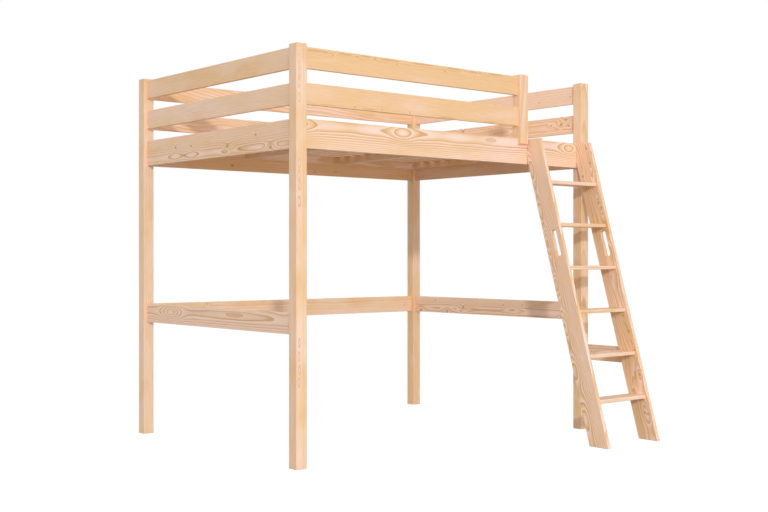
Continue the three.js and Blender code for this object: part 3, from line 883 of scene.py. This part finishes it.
class FastenerRows:
    """A Geometry Nodes tree that sets one head on every place of some rows."""

    def __init__(self, finish: bpy.types.Material) -> None:
        """Builds the tree with its named inputs, for heads of one finish."""
        self.finish = finish
        tree = bpy.data.node_groups.new("rows of fasteners", "GeometryNodeTree")
        tree.is_modifier = True
        self.tree = tree
        face = tree.interface
        for way in ("INPUT", "OUTPUT"):
            face.new_socket(name="Geometry", in_out=way, socket_type="NodeSocketGeometry")
        self.keys = {
            label: face.new_socket(name=label, in_out="INPUT", socket_type=kind).identifier
            for label, kind in (
                ("Start", VECTOR), ("Step", VECTOR), ("Count", "NodeSocketInt"),
                ("Across", VECTOR), ("Rows", "NodeSocketInt"), ("Facing", VECTOR),
                ("Head", "NodeSocketObject"), ("Finish", "NodeSocketMaterial"),
                ("Seed", "NodeSocketInt"))}
        wire = Wiring(tree)
        given = wire.node("NodeGroupInput").outputs
        line = wire.node("GeometryNodeMeshLine", {
            "Count": given["Count"], "Start Location": given["Start"], "Offset": given["Step"]},
            mode="OFFSET")
        rungs = wire.node("GeometryNodeMeshLine", {
            "Count": given["Rows"], "Offset": given["Across"]}, mode="OFFSET")
        copies = wire.node("GeometryNodeInstanceOnPoints", {
            "Points": rungs.outputs["Mesh"], "Instance": line.outputs["Mesh"]})
        places = wire.node("GeometryNodeRealizeInstances", (copies.outputs[0],))
        aim = wire.node("FunctionNodeAlignRotationToVector", {"Vector": given["Facing"]}, axis="Z")
        chance = wire.node("FunctionNodeRandomValue", {
            2: 0.0, 3: math.pi, "Seed": given["Seed"]}, data_type="FLOAT")
        spin = wire.node("FunctionNodeAxisAngleToRotation", {
            "Axis": (0.0, 0.0, 1.0), "Angle": chance.outputs[1]})
        turned = wire.node("FunctionNodeRotateRotation", (aim.outputs[0], spin.outputs[0]),
                           rotation_space="LOCAL")
        head = wire.node("GeometryNodeObjectInfo", {"Object": given["Head"]},
                         transform_space="ORIGINAL")
        heads = wire.node("GeometryNodeInstanceOnPoints", {
            "Points": places.outputs[0], "Instance": head.outputs["Geometry"],
            "Rotation": turned.outputs[0]})
        real = wire.node("GeometryNodeRealizeInstances", (heads.outputs[0],))
        coated = wire.node("GeometryNodeSetMaterial", {
            "Geometry": real.outputs[0], "Material": given["Finish"]})
        wire.node("NodeGroupOutput", (coated.outputs[0],))

    def build(self, name: str, rows: Rows, head: ScrewHead, seed: int) -> None:
        """Makes one plain mesh of all the heads in some rows, riding on the bed.

        Args:
            name: The piece's name.
            rows: Where the heads go.
            head: The head to repeat.
            seed: Fixes how each head is turned.
        """
        pattern = head.build()
        piece = placed(name, bpy.data.meshes.new(name))
        maker = piece.modifiers.new("rows", "NODES")
        maker.node_group = self.tree
        settings = {**socket_values(rows), "Head": pattern, "Finish": self.finish, "Seed": seed}
        for label, value in settings.items():
            maker[self.keys[label]] = value
        held = piece.evaluated_get(bpy.context.evaluated_depsgraph_get())
        mesh = bpy.data.meshes.new_from_object(held)
        piece.modifiers.clear()
        piece.data = mesh
        mesh.name = name
        bpy.data.objects.remove(pattern)
        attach(piece, BODY)
        LOG.info("built %s: %d faces", name, len(mesh.polygons))


def boards(stem: str, *sides: str) -> tuple[str, ...]:
    """Returns the frame's names for one kind of board on several sides."""
    return tuple(f"{stem}_{side}" for side in sides)


def numbered(stem: str, count: int) -> tuple[str, ...]:
    """Returns the frame's names for boards that are numbered from 1."""
    return boards(stem, *(str(number) for number in range(1, count + 1)))


def middle_of(node: str) -> Vector:
    """Returns the middle of a frame node's box."""
    low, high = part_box(node)
    return (low + high) / 2


@dataclass(frozen=True)
class Legs:
    """The four corner legs and the short post beside the entry."""

    timber: Timber
    corners: tuple[str, ...] = ("front_left", "front_right", "back_left", "back_right")

    def build(self) -> None:
        """Dresses every leg in upright grain."""
        self.timber.dress(Grain.LEG, *boards("post", *self.corners), "entry_post")


@dataclass(frozen=True)
class Rails:
    """Guard rails, bed rails and middle rails; the front has no middle rail."""

    timber: Timber
    levels: tuple[str, ...] = ("top_guard", "lower_guard", "bed_rail", "middle_rail")
    bed_rail_height: float = 0.143
    plain: float = 0.2

    def build(self) -> None:
        """Dresses the rails in level grain."""
        for sides, grain in ((("front", "back"), Grain.LONG_RAIL),
                             (("left", "right"), Grain.SHORT_RAIL)):
            names = [name for level in self.levels for name in boards(level, *sides)
                     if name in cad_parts]
            self.timber.dress(grain, *names, width=self.bed_rail_height, plain=self.plain)


@dataclass(frozen=True)
class Platform:
    """Ledgers, bearers and slats, with the screws that hold them."""

    timber: Timber
    rows: FastenerRows
    ledger_width: float = 0.040
    ledger_plain: float = 0.5
    bearers: int = 2
    bearer_width: float = 0.063
    bearer_plain: float = 0.4
    slats: int = 14
    slat_width: float = 0.070
    slat_plain: float = 0.2
    head: ScrewHead = ScrewHead(0.0042, sink=0.0028)
    long_ledger_screws: int = 6
    short_ledger_screws: int = 4
    slat_seed: int = 3
    ledger_seed: int = 5

    def build(self) -> None:
        """Dresses the timber and sets the screws."""
        for sides, grain in ((("front", "back"), Grain.LONG_RAIL),
                             (("left", "right"), Grain.SHORT_RAIL)):
            self.timber.dress(grain, *boards("ledger", *sides), width=self.ledger_width,
                              plain=self.ledger_plain)
        self.timber.dress(Grain.BEARER, *numbered("bearer", self.bearers),
                          width=self.bearer_width, plain=self.bearer_plain)
        self.timber.dress(Grain.FLAT, *numbered("slat", self.slats),
                          width=self.slat_width, plain=self.slat_plain)
        self.slat_screws()
        for side, axis, facing, count in (
                ("front", 1, 1.0, self.long_ledger_screws),
                ("back", 1, -1.0, self.long_ledger_screws),
                ("left", 0, 1.0, self.short_ledger_screws),
                ("right", 0, -1.0, self.short_ledger_screws)):
            self.ledger_screws(side, axis, facing, count)

    def slat_screws(self) -> None:
        """Sets a screw where each slat crosses an end ledger or a bearer."""
        first, last = middle_of("slat_1"), middle_of(f"slat_{self.slats}")
        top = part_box("slat_1")[1].z
        pitch = (last.y - first.y) / (self.slats - 1)
        for name, left, right in (("end", "ledger_left", "ledger_right"),
                                  ("bearer", "bearer_1", f"bearer_{self.bearers}")):
            near, far = middle_of(left).x, middle_of(right).x
            self.rows.build(f"slat_{name}_screws", Rows(
                (near, first.y, top), (0.0, pitch, 0.0), self.slats, (0.0, 0.0, 1.0),
                across=(far - near, 0.0, 0.0), rows=2), self.head, self.slat_seed)

    def ledger_screws(self, side: str, axis: int, facing: float, count: int) -> None:
        """Sets screws along one ledger's inner face.

        Args:
            side: The side of the bed that the ledger is on.
            axis: The axis that its face looks along, 0 for X and 1 for Y.
            facing: Which way along that axis it looks, 1 or -1.
            count: How many screws it has.
        """
        low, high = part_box(f"ledger_{side}")
        along = 1 - axis
        pitch = (high[along] - low[along]) / count
        start, step, way = (low + high) / 2, Vector((0, 0, 0)), Vector((0, 0, 0))
        start[axis] = high[axis] if facing > 0 else low[axis]
        start[along] = low[along] + pitch / 2
        step[along], way[axis] = pitch, facing
        self.rows.build(f"ledger_screws_{side}", Rows(
            tuple(start), tuple(step), count, tuple(way)), self.head, self.ledger_seed)


@dataclass(frozen=True)
class Ladder:
    """Two stringers, six treads and the brace to the right leg."""

    timber: Timber
    rows: FastenerRows
    treads: int = 6
    tread_width: float = 0.110
    tread_plain: float = 0.3
    brace_width: float = 0.090
    brace_plain: float = 0.8
    rise: float = 0.240
    first_tread: float = 0.238
    lean: float = 0.29042
    head: ScrewHead = ScrewHead(0.0062)
    screw_spread: float = 0.062
    seed: int = 11

    def build(self) -> None:
        """Dresses the timber and sets the tread screws."""
        self.timber.dress(Grain.STRINGER, *boards("stringer", "left", "right"))
        self.timber.dress(Grain.FLAT, *numbered("tread", self.treads),
                          width=self.tread_width, plain=self.tread_plain)
        self.timber.dress(Grain.SHORT_RAIL, "ladder_brace",
                          width=self.brace_width, plain=self.brace_plain)
        self.screws()

    def screws(self) -> None:
        """Sets two screws over each tread's end on the outer face of both stringers."""
        middle = middle_of("tread_1").y
        for side, facing in (("left", -1.0), ("right", 1.0)):
            low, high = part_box(f"stringer_{side}")
            face = low.x if facing < 0 else high.x
            self.rows.build(f"tread_screws_{side}", Rows(
                (face, middle - self.screw_spread / 2, self.first_tread),
                (0.0, self.rise * self.lean, self.rise), self.treads, (facing, 0.0, 0.0),
                across=(0.0, self.screw_spread, 0.0), rows=2), self.head, self.seed)


@dataclass(frozen=True)
class Fixings:
    """The bolts and screws that join legs, rails and ladder."""

    rows: FastenerRows
    head: ScrewHead = ScrewHead(0.0045)
    brace_screws: int = 2
    end_margin: float = 0.030
    edge_margin: float = 0.025
    pitch: float = 0.040
    seed: int = 13

    def build(self) -> None:
        """Plates the frame's bolts and screws, and sets the brace's screws."""
        for name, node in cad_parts.items():
            if "bolt" in name or "screw" in name:
                for place in node.material_slots:
                    place.material = self.rows.finish
                LOG.info("plated %s", name)
        low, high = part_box("ladder_brace")
        self.rows.build("brace_screws", Rows(
            (high.x, low.y + self.end_margin, low.z + self.edge_margin),
            (0.0, 0.0, self.pitch), self.brace_screws, (1.0, 0.0, 0.0)), self.head, self.seed)


@dataclass(frozen=True)
class Studio:
    """Camera, floor, lamps and a white surround; lengths in metres, angles in degrees."""

    place: Triple = (-4.34295, -5.06486, 1.02352)
    turn: float = -39.947
    lens: float = 55.03
    sensor: float = 36.0
    sight: float = 200.0
    floor_radius: float = 40.0
    floor_sides: int = 64
    floor_drop: float = 0.0005
    floor_bounce: Triple = (0.34, 0.28, 0.21)
    floor_shade: Triple = (0.14, 0.14, 0.14)
    floor_glow: float = 0.92
    key_from: Triple = (1.001, -0.498, 1.850)
    key_aim: Triple = (-0.596, -0.764, 0.248)
    key_distance: float = 17.0
    key_power: float = 1.13
    key_size: float = 2.5
    fill_aim: Triple = (-0.68, -0.40, 0.61)
    fill_power: float = 0.19
    fill_size: float = 100.0
    panel_place: Triple = (-1.2, -7.0, 0.32)
    panel_turn: float = -6.0
    panel_size: tuple[float, float] = (5.0, 0.55)
    panel_power: float = 96.0
    sky: float = 0.71

    def build(self) -> None:
        """Sets up everything that isn't the bed."""
        bpy.context.scene.view_settings.view_transform = "Standard"
        self.camera()
        self.surround()
        self.floor()
        self.key()
        self.fill()
        self.panel()

    def camera(self) -> None:
        """Puts the camera at the photograph's place."""
        data = bpy.data.cameras.new("camera")
        data.lens = self.lens
        data.sensor_width = self.sensor
        data.clip_end = self.sight
        made = placed("camera", data)
        made.location = self.place
        made.rotation_euler = (math.pi / 2, 0.0, math.radians(self.turn))
        bpy.context.scene.camera = made

    def key(self) -> None:
        """Adds the lamp that casts the shadows, which is as strong on every part of the bed."""
        data = bpy.data.lights.new("key", "POINT")
        data.energy = self.key_power * 4 * math.pi * self.key_distance ** 2
        data.shadow_soft_size = self.key_distance * math.tan(math.radians(self.key_size / 2))
        wire = wiring_of(data)
        falloff = wire.node("ShaderNodeLightFalloff", {"Strength": 1.0})
        glow = wire.node("ShaderNodeEmission", {"Strength": wire.maths(
            "DIVIDE", falloff.outputs["Constant"], self.key_distance ** 2)})
        wire.node("ShaderNodeOutputLight", {"Surface": glow.outputs[0]})
        made = placed("key", data)
        made.location = Vector(self.key_from) + Vector(self.key_aim) * self.key_distance

    def fill(self) -> None:
        """Adds a distant, very wide lamp on the left that softens the shadows."""
        data = bpy.data.lights.new("fill", "SUN")
        data.energy = self.fill_power
        data.angle = math.radians(self.fill_size)
        made = placed("fill", data)
        made.rotation_mode = "QUATERNION"
        made.rotation_quaternion = Vector(self.fill_aim).to_track_quat("Z", "Y")

    def panel(self) -> None:
        """Adds a low, wide lamp in front, which reaches in under the bed."""
        data = bpy.data.lights.new("panel", "AREA")
        data.shape = "RECTANGLE"
        data.size, data.size_y = self.panel_size
        data.energy = self.panel_power
        made = placed("panel", data)
        made.location = self.panel_place
        made.rotation_euler = (math.pi / 2, 0.0, math.radians(self.panel_turn))

    def surround(self) -> None:
        """Makes a world that is white to look at and softer as a light."""
        world = bpy.data.worlds.new("surround")
        wire = wiring_of(world)
        back = wire.node("ShaderNodeBackground", {
            "Color": WHITE, "Strength": wire.step(wire.seen(), 0.0, 1.0, self.sky, 1.0)})
        wire.node("ShaderNodeOutputWorld", {"Surface": back.outputs[0]})
        bpy.context.scene.world = world

    def floor(self) -> None:
        """Lays a floor that looks nearly white but keeps the bed's shadow."""
        shape = bmesh.new()
        bmesh.ops.create_circle(shape, cap_ends=True, segments=self.floor_sides,
                                radius=self.floor_radius)
        made = closed_shape(shape, "floor")
        made.location.z = -self.floor_drop
        finish = bpy.data.materials.new("floor")
        wire = wiring_of(finish)
        bounce = wire.node("ShaderNodeBsdfDiffuse", {"Color": self.floor_bounce + (1.0,)})
        shade = wire.node("ShaderNodeBsdfDiffuse", {"Color": self.floor_shade + (1.0,)})
        glow = wire.node("ShaderNodeEmission", {"Color": WHITE, "Strength": self.floor_glow})
        shown = wire.node("ShaderNodeAddShader", (shade.outputs[0], glow.outputs[0]))
        either = wire.node("ShaderNodeMixShader", (
            wire.seen(), bounce.outputs[0], shown.outputs[0]))
        wire.node("ShaderNodeOutputMaterial", {"Surface": either.outputs[0]})
        made.data.materials.append(finish)


def main() -> None:
    """Builds the bed's classes in order and reports each piece."""
    logging.basicConfig(level=logging.INFO, format="%(message)s")
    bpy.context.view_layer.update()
    Studio().build()
    timber = Timber(Pine())
    rows = FastenerRows(ZincPlate().material())
    Legs(timber).build()
    Rails(timber).build()
    Platform(timber, rows).build()
    Ladder(timber, rows).build()
    Fixings(rows).build()


if __name__ == "__main__":
    main()
